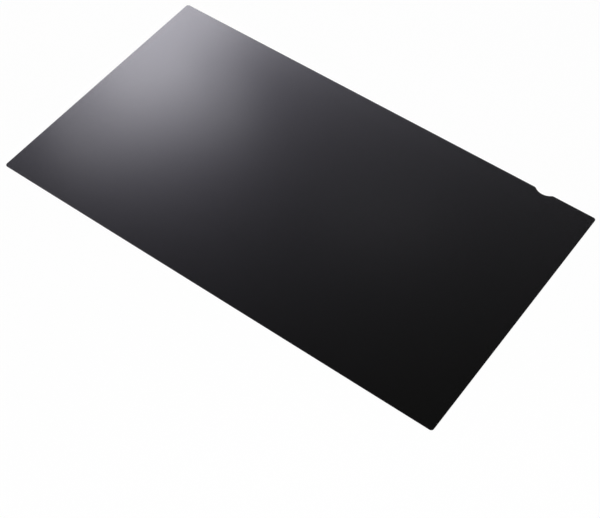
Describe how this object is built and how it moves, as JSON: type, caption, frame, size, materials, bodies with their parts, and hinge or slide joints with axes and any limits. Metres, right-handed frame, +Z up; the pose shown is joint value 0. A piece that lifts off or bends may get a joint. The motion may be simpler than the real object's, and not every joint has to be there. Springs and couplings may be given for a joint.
{
  "type": "monitor privacy filter",
  "caption": "Thin rectangular sheet of black louvre film with rounded corners and a thumb notch in a long edge; it covers a widescreen monitor and narrows its viewing angle.",
  "frame": {"origin": "middle of the lower face, which is the face that lies on the screen", "axes": "+X along the long side, +Y along the short side towards the edge with the thumb notch, +Z up through the sheet, out of its viewing face"},
  "size_m": [0.527, 0.2964, 0.0005],
  "materials": {
    "louvre_film": "satin black film with a fine anti-glare grain and a faint violet cast in its reflections"
  },
  "bodies": {
    "root": {"filter_sheet": "louvre_film"}
  },
  "joints": []
}
